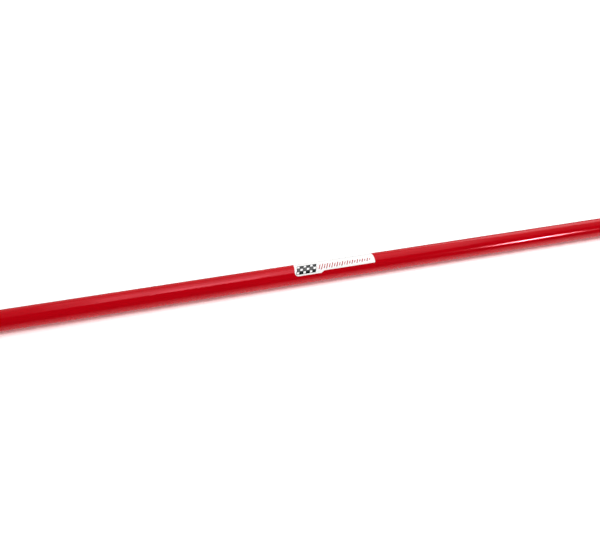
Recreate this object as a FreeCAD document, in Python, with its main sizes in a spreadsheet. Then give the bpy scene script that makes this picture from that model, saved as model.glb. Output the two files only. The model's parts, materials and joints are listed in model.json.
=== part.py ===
import FreeCAD, Part
import math
import os

import Sketcher
from FreeCAD import Placement, Rotation, Vector

# An automotive anti-roll bar with its two pivot brackets and two end links, in millimetres.
# +X runs along the bar, +Z is up off the bracket's mounting plane, and the arms reach towards -Y.
# The origin lies on the mounting plane, below the bar's axis and midway between the brackets.

SIZES = {
    # the bar and its forged eyes
    "bar_diameter": 25.4,
    "bend_radius": 76.2,
    "bend_gap": 45.0,
    "arm_splay": 6.0,
    "arm_reach": 305.0,
    "tip_length": 90.0,
    "tip_bend_radius": 150.0,
    "eye_width": 38.0,
    "eye_thickness": 14.0,
    "eye_edge_radius": 4.0,
    "eye_flat_length": 24.0,
    "eye_taper_length": 36.0,
    "eye_hole_chamfer": 0.8,
    # the label
    "label_length": 110.0,
    "label_arc_width": 20.0,
    "label_block_length": 35.5,
    "label_step": 2.6,
    "label_step_run": 4.0,
    "label_corner_radius": 2.5,
    "label_thickness": 0.15,
    "label_lean": 64.0,
    # the pivot bushings
    "bracket_spacing": 970.0,
    "bar_clearance": 0.05,
    "bushing_wall": 9.5,
    "bushing_base_wall": 8.0,
    "lip_thickness": 3.3,
    "lip_height": 3.0,
    "lip_edge_radius": 1.15,
    "slit_width": 0.6,
    "groove_width": 3.0,
    "groove_depth": 1.0,
    "groove_offset": 9.0,
    "grease_hole_diameter": 4.0,
    # the saddle brackets
    "strap_width": 38.1,
    "strap_thickness": 4.0,
    "strap_clearance": 0.1,
    "foot_corner_radius": 8.0,
    "foot_bend_radius": 5.0,
    "foot_underside_radius": 3.0,
    "pressed_edge_radius": 0.6,
    "bolt_hole_diameter": 11.0,
    "bolt_setback": 18.15,
    "bolt_edge_distance": 17.5,
    "gusset_width": 5.0,
    "gusset_length": 7.5,
    "gusset_height": 12.0,
    "gusset_root": 0.8,
    "boss_diameter": 13.0,
    "boss_height": 0.8,
    # the grease fittings
    "fitting_thread_diameter": 6.0,
    "fitting_setback": 0.2,
    "fitting_hex": 8.0,
    "fitting_hex_height": 3.4,
    "fitting_head_diameter": 6.6,
    "fitting_height": 10.6,
    "fitting_lead_in": 0.5,
    "fitting_neck_inset": 0.9,
    "fitting_shoulder": 1.9,
    "fitting_cone_drop": 4.2,
    "fitting_cheek_top": 2.3,
    "fitting_cheek_height": 0.7,
    "fitting_tip_diameter": 4.0,
    "fitting_clearance": 0.05,
    "tip_hole_diameter": 1.8,
    "tip_land": 0.4,
    "ball_diameter": 2.6,
    "ball_side_gap": 0.25,
    "ball_clearance": 0.02,
    "spring_wire": 0.3,
    "spring_size": 0.8,
    "spring_turns": 5.0,
    # the end links
    "link_bolt_diameter": 9.525,
    "hex_wall": 2.38,
    "bolt_head_height": 6.4,
    "under_head_radius": 0.38,
    "thread_pitch": 1.5875,
    "thread_length": 40.0,
    "thread_beyond_nut": 6.0,
    "link_clearance": 0.34,
    "washer_thickness": 2.4,
    "washer_dish_rise": 1.6,
    "washer_dish_width": 2.7,
    "washer_dish_overlap": 1.8,
    "washer_edge_radius": 0.36,
    "rubber_diameter": 30.0,
    "rubber_height": 15.0,
    "rubber_edge_radius": 3.0,
    "rubber_inner_edge_radius": 0.75,
    "nipple_diameter": 16.0,
    "nipple_clearance": 0.25,
    "nipple_gap": 0.4,
    "frame_gap": 9.0,
    "sleeve_diameter": 15.9,
    "sleeve_length": 50.0,
    "sleeve_chamfer": 0.64,
    "nut_height": 7.2,
    "nut_collar_height": 3.0,
    "nut_collar_slope": 1.1,
    "nut_crimp": 0.56,
    "insert_step": 0.1,
    "insert_clearance": 0.02,
    "insert_chamfer": 0.3,
    "insert_height": 2.3,
    "insert_wall": 1.25,
    "collar_wall": 0.7,
    "thread_clearance": 0.05,
    # how far a cut or a joined piece runs past the face that it meets
    "overrun": 1.0,
}

# Places worked out from the sizes. Each formula may use the ones above it.
PLACES = {
    "bar_radius": "sizes.bar_diameter / 2",
    "bore_radius": "bar_radius + sizes.bar_clearance",
    "axis_height": "sizes.bushing_base_wall + bore_radius",
    "bushing_radius": "bore_radius + sizes.bushing_wall",
    "bushing_length": "sizes.strap_width + 2 * sizes.strap_clearance + 2 * sizes.lip_thickness",
    "strap_inner": "bushing_radius + sizes.strap_clearance",
    "strap_outer": "strap_inner + sizes.strap_thickness",
    "boss_top": "axis_height + strap_outer + sizes.boss_height",
    "bolt_y": "strap_outer + sizes.bolt_setback",
    "foot_end_y": "bolt_y + sizes.bolt_edge_distance",
    "bend_turn": "90 - sizes.arm_splay",
    "bracket_x": "sizes.bracket_spacing / 2",
    "corner_x": "bracket_x + sizes.bend_gap + sizes.bend_radius * tan(bend_turn / 2)",
    "tip_corner_y": "sizes.arm_reach - sizes.tip_length",
    "eye_x": "corner_x + tip_corner_y * tan(sizes.arm_splay)",
    "flat_start_y": "sizes.arm_reach - sizes.eye_flat_length",
    "taper_start_y": "flat_start_y - sizes.eye_taper_length",
    "lower_rubber_z": "sizes.bolt_head_height + sizes.washer_thickness",
    "eye_bottom_z": "lower_rubber_z + sizes.rubber_height",
    "eye_z": "eye_bottom_z + sizes.eye_thickness / 2",
    "eye_top_z": "eye_bottom_z + sizes.eye_thickness",
    "sleeve_washer_z": "eye_top_z + sizes.rubber_height",
    "sleeve_z": "sleeve_washer_z + sizes.washer_thickness",
    "plate_washer_z": "sleeve_z + sizes.sleeve_length",
    "plate_rubber_z": "plate_washer_z + sizes.washer_thickness",
    "plate_gap_z": "plate_rubber_z + sizes.rubber_height",
    "top_rubber_z": "plate_gap_z + sizes.frame_gap",
    "top_washer_z": "top_rubber_z + sizes.rubber_height",
    "nut_z": "top_washer_z + sizes.washer_thickness",
    "nut_top_z": "nut_z + sizes.nut_height + sizes.nut_collar_height",
    "bolt_end_z": "nut_top_z + sizes.thread_beyond_nut",
    "bolt_radius": "sizes.link_bolt_diameter / 2",
    "thread_bore": "bolt_radius + sizes.thread_clearance",
    "link_bore": "bolt_radius + sizes.link_clearance",
    "insert_radius": "bolt_radius + sizes.insert_wall",
    "collar_radius": "insert_radius + sizes.collar_wall",
    "thread_depth": "0.6134 * sizes.thread_pitch",
    "thread_overshoot": "0.05 * sizes.thread_pitch",
    "thread_root_half": "0.0625 * sizes.thread_pitch",
    "thread_crest_half": "thread_root_half + (thread_depth + thread_overshoot) * tan(30)",
    "bolt_end_chamfer": "thread_depth + sizes.thread_clearance",
    "hex_flat": "bolt_radius + sizes.hex_wall",
    "hex_corner": "hex_flat / cos(30)",
    "nipple_radius": "sizes.nipple_diameter / 2",
    "nipple_length": "(sizes.frame_gap - sizes.nipple_gap) / 2",
    "eye_hole_radius": "nipple_radius + sizes.nipple_clearance",
    "dish_start": "sizes.rubber_diameter / 2 - sizes.washer_dish_overlap",
    "dish_angle": "atan(sizes.washer_dish_rise / sizes.washer_dish_width) / 1deg",
    "dish_skew": "sizes.washer_thickness * tan(dish_angle / 2)",
    "washer_radius": "dish_start + sizes.washer_dish_width + sizes.washer_thickness * sin(dish_angle)",
    "fitting_depth": "sizes.strap_thickness + sizes.boss_height - sizes.fitting_setback",
    "chamber_radius": "sizes.ball_diameter / 2 + sizes.ball_side_gap",
    "chamber_z": "sizes.fitting_hex_height + 0.5 * chamber_radius",
    "seat_drop": "chamber_radius - sizes.tip_hole_diameter / 2",
    "seat_z": "sizes.fitting_height - sizes.tip_land - seat_drop",
    "ball_reach": "(sizes.ball_diameter / 2 + sizes.ball_clearance) * sqrt(2)",
    "ball_z": "seat_z + chamber_radius - ball_reach",
    "spring_radius": "(sizes.spring_size * sizes.ball_diameter - sizes.spring_wire) / 2",
    "feed_radius": "spring_radius - sizes.spring_wire / 2",
    "spring_contact": "(sizes.ball_diameter + sizes.spring_wire) / 2 + sizes.ball_clearance",
    "spring_top_z": "ball_z - sqrt(spring_contact ^ 2 - spring_radius ^ 2)",
    "spring_foot_z": "chamber_z + sizes.spring_wire / 2 + sizes.ball_clearance",
    "label_radius": "bar_radius + sizes.label_thickness",
    "label_half_chord": "bar_radius * sin(sizes.label_arc_width / 2 / bar_radius * 180 / pi)",
    "label_tail_arc": "sizes.label_arc_width / 2 - sizes.label_step",
    "label_tail_chord": "bar_radius * sin(label_tail_arc / bar_radius * 180 / pi)",
}

SIDES = (("left", -1), ("right", 1))

doc = FreeCAD.newDocument("anti_roll_bar")
sizes = doc.addObject("Spreadsheet::Sheet", "sizes")
places = doc.addObject("Spreadsheet::Sheet", "places")
sub_parts = []


def fill_sheets():
    for row, (alias, number) in enumerate(SIZES.items(), start=1):
        sizes.set(f"A{row}", alias)
        sizes.set(f"B{row}", str(number))
        sizes.setAlias(f"B{row}", alias)
    doc.recompute()
    for row, (alias, formula) in enumerate(PLACES.items(), start=1):
        places.set(f"A{row}", alias)
        places.set(f"B{row}", "=" + formula)
        places.setAlias(f"B{row}", alias)
        doc.recompute()


def value(expression):
    """The number that an expression of the sheets' cells comes to."""
    found = sizes.evalExpression(expression)
    return float(getattr(found, "Value", found))


def bind(thing, **expressions):
    """Binds properties to expressions: Height="sizes.nut_height", Placement_Base_z="places.nut_z"."""
    for name, expression in expressions.items():
        thing.setExpression(name.replace("_Base_", ".Base."), expression)


def keep(thing, label):
    thing.Label = label
    sub_parts.append(thing)
    return thing


# ---- sketches ----


def origin_feature(body, role):
    return next(f for f in body.Origin.OriginFeatures if f.Role == role)


def new_body(name):
    return doc.addObject("PartDesign::Body", name)


def new_sketch(body, role, offset=None):
    """A sketch on one of the body's own origin planes, moved along the plane's normal by offset."""
    sketch = body.newObject("Sketcher::SketchObject", body.Name + "_outline")
    sketch.AttachmentSupport = [(origin_feature(body, role), "")]
    sketch.MapMode = "FlatFace"
    if offset:
        sketch.setExpression("AttachmentOffset.Base.z", offset)
    return sketch


def fix(sketch, geometry, end, across, upward):
    """Holds a point of the sketch at two distances from its origin."""
    for kind, expression in (("DistanceX", across), ("DistanceY", upward)):
        distance = Sketcher.Constraint(kind, -1, 1, geometry, end, value(expression))
        sketch.setExpression(f"Constraints[{sketch.addConstraint(distance)}]", expression)


def draw_outline(sketch, corners):
    """A closed outline of straight lines through corners, each a pair of expressions."""
    points = [Vector(value(across), value(upward), 0) for across, upward in corners]
    lines = [
        sketch.addGeometry(Part.LineSegment(start, end), False)
        for start, end in zip(points, points[1:] + points[:1])
    ]
    for line, following in zip(lines, lines[1:] + lines[:1]):
        sketch.addConstraint(Sketcher.Constraint("Coincident", line, 2, following, 1))
    for line, (across, upward) in zip(lines, corners):
        fix(sketch, line, 1, across, upward)


def draw_box(sketch, half_width, low, high):
    draw_outline(
        sketch,
        [
            (f"-({half_width})", low),
            (half_width, low),
            (half_width, high),
            (f"-({half_width})", high),
        ],
    )


def draw_circle(sketch, radius, across="0", upward="0"):
    centre = Vector(value(across), value(upward), 0)
    circle = sketch.addGeometry(Part.Circle(centre, Vector(0, 0, 1), value(radius)), False)
    fix(sketch, circle, 3, across, upward)
    number = sketch.addConstraint(Sketcher.Constraint("Radius", circle, value(radius)))
    sketch.setExpression(f"Constraints[{number}]", radius)


def draw_arch(sketch, radius, centre, base):
    """A round-topped outline: a half circle about (0, centre) with straight sides down to base."""
    r, c, b = value(radius), value(centre), value(base)
    top = Part.ArcOfCircle(Part.Circle(Vector(0, c, 0), Vector(0, 0, 1), r), 0, math.pi)
    arch = sketch.addGeometry(top, False)
    left = sketch.addGeometry(Part.LineSegment(Vector(-r, c, 0), Vector(-r, b, 0)), False)
    bottom = sketch.addGeometry(Part.LineSegment(Vector(-r, b, 0), Vector(r, b, 0)), False)
    right = sketch.addGeometry(Part.LineSegment(Vector(r, b, 0), Vector(r, c, 0)), False)
    for first, second in ((arch, left), (left, bottom), (bottom, right), (right, arch)):
        sketch.addConstraint(Sketcher.Constraint("Coincident", first, 2, second, 1))
    fix(sketch, arch, 3, "0", centre)
    fix(sketch, bottom, 1, f"-({radius})", base)
    fix(sketch, bottom, 2, radius, base)
    for end in (1, 2):
        level = Sketcher.Constraint("DistanceY", -1, 1, arch, end, c)
        sketch.setExpression(f"Constraints[{sketch.addConstraint(level)}]", centre)
    number = sketch.addConstraint(Sketcher.Constraint("Radius", arch, r))
    sketch.setExpression(f"Constraints[{number}]", radius)


# ---- features ----


def add_feature(body, kind, sketch, **settings):
    feature = body.newObject("PartDesign::" + kind, body.Name + "_" + kind.lower())
    feature.Profile = sketch
    for name, setting in settings.items():
        setattr(feature, name, setting)
    sketch.Visibility = False
    return feature


def pad(body, sketch, length, both_ways=False, backward=False):
    feature = add_feature(body, "Pad", sketch, Midplane=both_ways, Reversed=backward)
    bind(feature, Length=length)
    doc.recompute()
    return feature


def pocket(body, sketch, length=None, backward=False):
    """Cuts to a depth, or right through both ways where no length is given."""
    feature = add_feature(body, "Pocket", sketch, Reversed=backward)
    if length:
        bind(feature, Length=length)
    else:
        feature.Type = "ThroughAll"
        feature.Midplane = True
    doc.recompute()
    return feature


def turn(body, corners, axis="Z_Axis", plane="XZ_Plane", cut=False):
    """Turns an outline of (radius, height) corners about one of the body's axes."""
    sketch = new_sketch(body, plane)
    draw_outline(sketch, corners)
    feature = add_feature(body, "Groove" if cut else "Revolution", sketch)
    feature.ReferenceAxis = (origin_feature(body, axis), [""])
    feature.Angle = 360
    doc.recompute()
    return feature


def ease(body, kind, size, chosen):
    """A Fillet or Chamfer on the tip's edges that chosen accepts."""
    tip = body.Tip
    names = [f"Edge{n}" for n, edge in enumerate(tip.Shape.Edges, start=1) if chosen(edge)]
    feature = body.newObject("PartDesign::" + kind, body.Name + "_" + kind.lower())
    feature.Base = (tip, names)
    bind(feature, **{"Radius" if kind == "Fillet" else "Size": size})
    doc.recompute()
    return feature


def near(number, target):
    return abs(number - target) < 1e-4


def ring_at(radius, height):
    """Accepts the circular edges about the Z axis of that radius and height."""

    def chosen(edge):
        curve = edge.Curve
        if not isinstance(curve, Part.Circle):
            return False
        return near(curve.Radius, value(radius)) and near(curve.Center.z, value(height))

    return chosen


# ---- the bar ----


def rounded_route(corners, radii):
    """Straight runs through corners, joined at each inner corner by a tangent arc."""
    edges = []
    start = corners[0]
    for before, corner, after, radius in zip(corners, corners[1:], corners[2:], radii):
        inward = (before - corner).normalize()
        outward = (after - corner).normalize()
        half_turn = (math.pi - inward.getAngle(outward)) / 2
        reach = radius * math.tan(half_turn)
        depth = radius / math.cos(half_turn) - radius
        middle = corner + (inward + outward).normalize() * depth
        first, last = corner + inward * reach, corner + outward * reach
        edges.append(Part.LineSegment(start, first).toShape())
        edges.append(Part.Arc(first, middle, last).toShape())
        start = last
    edges.append(Part.LineSegment(start, corners[-1]).toShape())
    return Part.Wire(edges)


def make_bar_tube():
    """The round bar, swept from one eye's taper to the other's."""
    axis_z, eye_z = value("places.axis_height"), value("places.eye_z")
    right_half = [
        Vector(value("places.corner_x"), 0, axis_z),
        Vector(value("places.eye_x"), -value("places.tip_corner_y"), eye_z),
        Vector(value("places.eye_x"), -value("places.taper_start_y"), eye_z),
    ]
    left_half = [Vector(-p.x, p.y, p.z) for p in reversed(right_half)]
    bends = [value("sizes.tip_bend_radius"), value("sizes.bend_radius")]
    route = doc.addObject("Part::Feature", "bar_route")
    route.Shape = rounded_route(left_half + right_half, bends + bends[::-1])
    section = doc.addObject("Part::Circle", "bar_section")
    bind(section, Radius="places.bar_radius")
    section.Placement = Placement(left_half[0], Rotation(Vector(1, 0, 0), -90))
    tube = doc.addObject("Part::Sweep", "bar_tube")
    tube.Sections = [section]
    tube.Spine = (route, [f"Edge{n + 1}" for n in range(len(route.Shape.Edges))])
    tube.Solid = True
    tube.Frenet = False
    doc.recompute()
    return tube


def eye_section_points():
    """Half a quarter of the forged eye's section and its corner's middle, as (across, up) pairs."""
    across, up = value("sizes.eye_width") / 2, value("sizes.eye_thickness") / 2
    corner = value("sizes.eye_edge_radius")
    middle = corner * (1 - math.cos(math.pi / 4))
    return [(across, up - corner), (across - middle, up - middle), (across - corner, up)]


def quarter_turns(points):
    """A first-quarter point list carried round all four quarters, in order."""
    mirrored = [(-x, z) for x, z in reversed(points)]
    lower = [(-x, -z) for x, z in points]
    return [points, mirrored, lower, [(x, -z) for x, z in reversed(points)]]


def closed_section(quarters, y, bulge=0.0):
    """A wire of four corner arcs joined by four runs, which bulge out to a circle of radius bulge."""
    edges = []
    for corner, following in zip(quarters, quarters[1:] + quarters[:1]):
        a, b, c = (Vector(x, y, z) for x, z in corner)
        d = Vector(following[0][0], y, following[0][1])
        edges.append(Part.Arc(a, b, c).toShape())
        if bulge:
            middle = (c + d) / 2 - Vector(0, y, 0)
            edges.append(Part.Arc(c, middle.normalize() * bulge + Vector(0, y, 0), d).toShape())
        else:
            edges.append(Part.LineSegment(c, d).toShape())
    return Part.Wire(edges)


def make_right_eye():
    """The forged end: a taper from round to flat, a flat and a half-round tip about the hole."""
    eye_x, eye_z = value("places.eye_x"), value("places.eye_z")
    r = value("places.bar_radius")
    angles = [math.radians(a) for a in (25, 45, 65)]
    round_quarters = quarter_turns([(r * math.cos(a), r * math.sin(a)) for a in angles])
    flat_quarters = quarter_turns(eye_section_points())
    taper_y, flat_y = -value("places.taper_start_y"), -value("places.flat_start_y")
    flat = closed_section(flat_quarters, flat_y)
    taper = Part.makeLoft([closed_section(round_quarters, taper_y, r), flat], True, False)
    middle = Part.Face(flat).extrude(Vector(0, -value("sizes.eye_flat_length"), 0))
    (a, b, c), (up, low) = flat_quarters[0], (flat_quarters[0][2][1], -flat_quarters[0][2][1])
    y = -value("sizes.arm_reach")
    half = Part.Wire(
        [
            Part.Arc(*(Vector(x, y, z) for x, z in (a, b, c))).toShape(),
            Part.makeLine(Vector(c[0], y, up), Vector(0, y, up)),
            Part.makeLine(Vector(0, y, up), Vector(0, y, low)),
            Part.makeLine(Vector(0, y, low), Vector(c[0], y, low)),
            Part.Arc(*(Vector(x, y, -z) for x, z in (c, b, a))).toShape(),
            Part.makeLine(Vector(a[0], y, -a[1]), Vector(a[0], y, a[1])),
        ]
    )
    tip = Part.Face(half).revolve(Vector(0, y, 0), Vector(0, 0, -1), 180)
    eye = doc.addObject("Part::Feature", "right_eye")
    eye.Shape = taper.fuse([middle, tip]).removeSplitter()
    eye.Placement = Placement(Vector(eye_x, 0, eye_z), Rotation())
    return eye


def make_sway_bar():
    tube, right_eye = make_bar_tube(), make_right_eye()
    left_eye = doc.addObject("Part::Mirroring", "left_eye")
    left_eye.Source = right_eye
    left_eye.Normal = (1, 0, 0)
    blank = doc.addObject("Part::MultiFuse", "bar_blank")
    blank.Shapes = [tube, left_eye, right_eye]
    blank.Refine = True
    drills = doc.addObject("Part::MultiFuse", "eye_drills")
    drills.Shapes = [make_eye_drill(side, sign) for side, sign in SIDES]
    bar = doc.addObject("Part::Cut", "sway_bar")
    bar.Base, bar.Tool = blank, drills
    keep(bar, "sway_bar")


def make_eye_drill(side, sign):
    """What the eye's hole takes away: a round hole whose mouths are chamfered."""
    body = new_body(f"eye_drill_{side}")
    hole, chamfer = "places.eye_hole_radius", "sizes.eye_hole_chamfer"
    face = "sizes.eye_thickness / 2"
    turn(
        body,
        [
            ("0", f"-{face} - {chamfer}"),
            (f"{hole} + 2 * {chamfer}", f"-{face} - {chamfer}"),
            (hole, f"-{face} + {chamfer}"),
            (hole, f"{face} - {chamfer}"),
            (f"{hole} + 2 * {chamfer}", f"{face} + {chamfer}"),
            ("0", f"{face} + {chamfer}"),
        ],
    )
    return at_link(body, sign, "places.eye_z")


def make_label():
    """The thin label wrapped on the bar: a tube's skin, kept inside a rounded outline."""
    skins = []
    for name, radius in (("label_skin", "places.label_radius"), ("label_core", "places.bar_radius")):
        skin = doc.addObject("Part::Cylinder", name)
        bind(skin, Radius=radius, Height="sizes.label_length", Placement_Base_z="places.axis_height")
        skin.Placement.Rotation = Rotation(Vector(0, 1, 0), 90)
        bind(skin, Placement_Base_x="-sizes.label_length / 2")
        skins.append(skin)
    tube = doc.addObject("Part::Cut", "label_tube")
    tube.Base, tube.Tool = skins
    stamp = new_body("label_stamp")
    outline = new_sketch(stamp, "XY_Plane")
    end, top = "sizes.label_length / 2", "places.label_half_chord"
    step_x = f"-({end}) + sizes.label_block_length"
    draw_outline(
        outline,
        [
            (f"-({end})", f"-{top}"),
            (step_x, f"-{top}"),
            (f"{step_x} + sizes.label_step_run", "-places.label_tail_chord"),
            (end, "-places.label_tail_chord"),
            (end, top),
            (f"-({end})", top),
        ],
    )
    pad(stamp, outline, "sizes.bar_diameter")
    tall = value("sizes.bar_diameter")
    ease(stamp, "Fillet", "sizes.label_corner_radius", lambda e: near(e.BoundBox.ZLength, tall))
    lean = Rotation(Vector(1, 0, 0), 90 - value("sizes.label_lean"))
    stamp.Placement = Placement(Vector(0, 0, value("places.axis_height")), lean)
    label = doc.addObject("Part::Common", "label")
    label.Base, label.Tool = tube, stamp
    keep(label, "label")


# ---- the pivot brackets ----


def make_bushing(side, sign):
    """The split bushing that the bar turns in. Its own origin is on the bar's axis."""
    body = new_body(f"pivot_bushing_{side}")
    bind(body, Placement_Base_x=f"{sign} * places.bracket_x", Placement_Base_z="places.axis_height")
    outline = new_sketch(body, "YZ_Plane")
    draw_arch(outline, "places.bushing_radius", "0", "-places.axis_height")
    pad(body, outline, "places.bushing_length", both_ways=True)
    for end in (-1, 1):
        start = f"{end} * places.bushing_length / 2"
        lip = new_sketch(body, "YZ_Plane", start)
        draw_arch(lip, "places.bushing_radius + sizes.lip_height", "0", "-places.axis_height")
        pad(body, lip, "sizes.lip_thickness", backward=end > 0)
    rim = "places.bushing_radius + sizes.lip_height"
    ease(body, "Fillet", "sizes.lip_edge_radius", lambda e: on_arch_rim(e, value(rim)))
    bore = new_sketch(body, "YZ_Plane")
    draw_circle(bore, "places.bore_radius")
    pocket(body, bore)
    slit = new_sketch(body, "YZ_Plane")
    far = "2 * places.bushing_radius"
    half = "sizes.slit_width / 2"
    draw_outline(slit, [("0", f"-{half}"), (far, f"-{half}"), (far, half), ("0", half)])
    pocket(body, slit)
    inside = "places.bore_radius - sizes.overrun"
    outside = "places.bore_radius + sizes.groove_depth"
    for end in (-1, 1):
        low = f"{end} * sizes.groove_offset - sizes.groove_width / 2"
        high = f"{end} * sizes.groove_offset + sizes.groove_width / 2"
        corners = [(low, inside), (high, inside), (high, outside), (low, outside)]
        turn(body, corners, axis="X_Axis", cut=True)
    channel = new_sketch(body, "XY_Plane")
    draw_box(
        channel, "sizes.groove_offset", "-sizes.groove_width / 2", "sizes.groove_width / 2"
    )
    pocket(body, channel, outside, backward=True)
    drill = new_sketch(body, "XY_Plane")
    draw_circle(drill, "sizes.grease_hole_diameter / 2")
    pocket(body, drill, "2 * places.bushing_radius", backward=True)
    keep(body, f"pivot_bushing_{side}")


def on_arch_rim(edge, radius):
    """Accepts the round edges of that radius about the X axis."""
    return isinstance(edge.Curve, Part.Circle) and near(edge.Curve.Radius, radius)


def make_bracket(side, sign):
    """The pressed saddle bracket: a strap over the bushing, two drilled feet and a fitting boss."""
    body = new_body(f"saddle_bracket_{side}")
    bind(body, Placement_Base_x=f"{sign} * places.bracket_x")
    arch = new_sketch(body, "YZ_Plane")
    draw_arch(arch, "places.strap_outer", "places.axis_height", "0")
    pad(body, arch, "sizes.strap_width", both_ways=True)
    feet = new_sketch(body, "XY_Plane")
    draw_box(feet, "sizes.strap_width / 2", "-places.foot_end_y", "places.foot_end_y")
    pad(body, feet, "sizes.strap_thickness")
    outer = value("places.strap_outer")
    thick = value("sizes.strap_thickness")
    width = value("sizes.strap_width")

    def in_foot_corner(edge):
        box = edge.BoundBox
        return near(box.XLength, width) and near(box.ZMin, thick) and near(abs(box.YMin), outer)

    ease(body, "Fillet", "sizes.foot_bend_radius", in_foot_corner)
    hollow = new_sketch(body, "YZ_Plane")
    draw_arch(hollow, "places.strap_inner", "places.axis_height", "0")
    pocket(body, hollow)
    inner = value("places.strap_inner")

    def under_bend(edge):
        box = edge.BoundBox
        return near(box.XLength, width) and near(box.ZMax, 0) and near(abs(box.YMin), inner)

    ease(body, "Fillet", "sizes.foot_underside_radius", under_bend)
    for end in (-1, 1):
        gusset = new_sketch(body, "YZ_Plane")
        wall = f"{end} * (places.strap_outer - sizes.gusset_root)"
        toe = f"{end} * (places.strap_outer + sizes.gusset_length)"
        foot = "sizes.strap_thickness - sizes.gusset_root"
        height = "sizes.strap_thickness + sizes.gusset_height"
        draw_outline(gusset, [(wall, foot), (toe, foot), (wall, height)][::end])
        pad(body, gusset, "sizes.gusset_width", both_ways=True)
    foot_end = value("places.foot_end_y")

    def at_foot_corner(edge):
        box = edge.BoundBox
        return near(box.ZLength, thick) and near(abs(box.YMin), foot_end) and near(box.ZMin, 0)

    ease(body, "Fillet", "sizes.foot_corner_radius", at_foot_corner)

    def on_outer_rim(edge):
        box = edge.BoundBox
        on_foot = near(box.ZMin, thick) and near(box.ZMax, thick) and max(-box.YMin, box.YMax) > outer
        on_side = near(box.XLength, 0) and near(abs(box.XMin), width / 2) and box.ZMax > thick + 0.1
        above = box.YLength > 2 * inner + 0.1 or on_foot
        return on_foot or on_side and above

    ease(body, "Fillet", "sizes.pressed_edge_radius", on_outer_rim)
    boss = new_sketch(body, "XY_Plane", "places.axis_height + places.strap_inner + sizes.overrun")
    draw_circle(boss, "sizes.boss_diameter / 2")
    pad(body, boss, "sizes.strap_thickness - sizes.overrun + sizes.boss_height")
    tapping = new_sketch(body, "XY_Plane", "places.axis_height")
    draw_circle(tapping, "sizes.fitting_thread_diameter / 2 + sizes.fitting_clearance")
    pocket(body, tapping, "2 * places.strap_outer", backward=True)
    holes = new_sketch(body, "XY_Plane")
    for end in (-1, 1):
        draw_circle(holes, "sizes.bolt_hole_diameter / 2", upward=f"{end} * places.bolt_y")
    pocket(body, holes, "2 * sizes.strap_thickness", backward=True)
    keep(body, f"saddle_bracket_{side}")


def make_fitting(side, sign):
    """The grease fitting's body. Its own origin is under its hexagon, on the bracket's boss."""
    body = new_body(f"grease_fitting_{side}")
    bind(body, Placement_Base_x=f"{sign} * places.bracket_x", Placement_Base_z="places.boss_top")
    thread, end = "sizes.fitting_thread_diameter / 2", "-places.fitting_depth"
    head, top = "sizes.fitting_head_diameter / 2", "sizes.fitting_height"
    neck = f"{head} - sizes.fitting_neck_inset"
    cheek = f"{top} - sizes.fitting_cheek_top"
    corner = "sizes.fitting_hex / 2 / cos(30)"
    hex_top = "sizes.fitting_hex_height"
    turn(
        body,
        [
            ("0", end),
            (f"{thread} - sizes.fitting_lead_in", end),
            (thread, f"{end} + sizes.fitting_lead_in"),
            (thread, "0"),
            (corner, "0"),
            (corner, hex_top),
            (head, hex_top),
            (neck, f"{hex_top} + sizes.fitting_shoulder"),
            (neck, f"{top} - sizes.fitting_cone_drop"),
            (head, f"{cheek} - sizes.fitting_cheek_height"),
            (head, cheek),
            ("sizes.fitting_tip_diameter / 2", top),
            ("0", top),
        ],
    )
    flats = new_sketch(body, "XY_Plane")
    draw_hexagon(flats, corner)
    draw_circle(flats, f"{corner} + sizes.overrun")
    pocket(body, flats, hex_top, backward=True)
    bore, chamber = "places.feed_radius", "places.chamber_radius"
    tip = "sizes.tip_hole_diameter / 2"
    turn(
        body,
        [
            ("0", f"{end} - sizes.overrun"),
            (bore, f"{end} - sizes.overrun"),
            (bore, "places.chamber_z"),
            (chamber, "places.chamber_z"),
            (chamber, "places.seat_z"),
            (tip, "places.seat_z + places.seat_drop"),
            (tip, f"{top} + sizes.overrun"),
            ("0", f"{top} + sizes.overrun"),
        ],
        cut=True,
    )
    keep(body, f"grease_fitting_{side}")


def draw_hexagon(sketch, corner):
    """A hexagon about the origin, with its corners at that radius."""
    draw_outline(
        sketch, [(f"{corner} * cos({60 * n})", f"{corner} * sin({60 * n})") for n in range(6)]
    )


def make_check_valve(side, sign):
    """The fitting's ball, and the coil spring that holds it against its seat."""
    ball = doc.addObject("Part::Sphere", f"grease_ball_{side}")
    bind(
        ball,
        Radius="sizes.ball_diameter / 2",
        Placement_Base_x=f"{sign} * places.bracket_x",
        Placement_Base_z="places.boss_top + places.ball_z",
    )
    keep(ball, f"grease_ball_{side}")
    rise = "places.spring_top_z - places.spring_foot_z"
    foot = "places.boss_top + places.spring_foot_z"
    coil = doc.addObject("Part::Helix", f"spring_coil_{side}")
    bind(coil, Radius="places.spring_radius", Height=rise, Pitch=f"({rise}) / sizes.spring_turns")
    bind(coil, Placement_Base_x=f"{sign} * places.bracket_x", Placement_Base_z=foot)
    wire = doc.addObject("Part::Circle", f"spring_wire_{side}")
    wire.Placement = Placement(Vector(), Rotation(Vector(1, 0, 0), 90))
    bind(wire, Radius="sizes.spring_wire / 2", Placement_Base_z=foot)
    bind(wire, Placement_Base_x=f"{sign} * places.bracket_x + places.spring_radius")
    spring = doc.addObject("Part::Sweep", f"grease_spring_{side}")
    spring.Sections = [wire]
    spring.Spine = (coil, ["Edge1"])
    spring.Solid = True
    spring.Frenet = True
    keep(spring, f"grease_spring_{side}")


# ---- the end links ----


def at_link(thing, sign, height):
    bind(
        thing,
        Placement_Base_x=f"{sign} * places.eye_x",
        Placement_Base_y="-sizes.arm_reach",
        Placement_Base_z=height,
    )
    return thing


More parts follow.
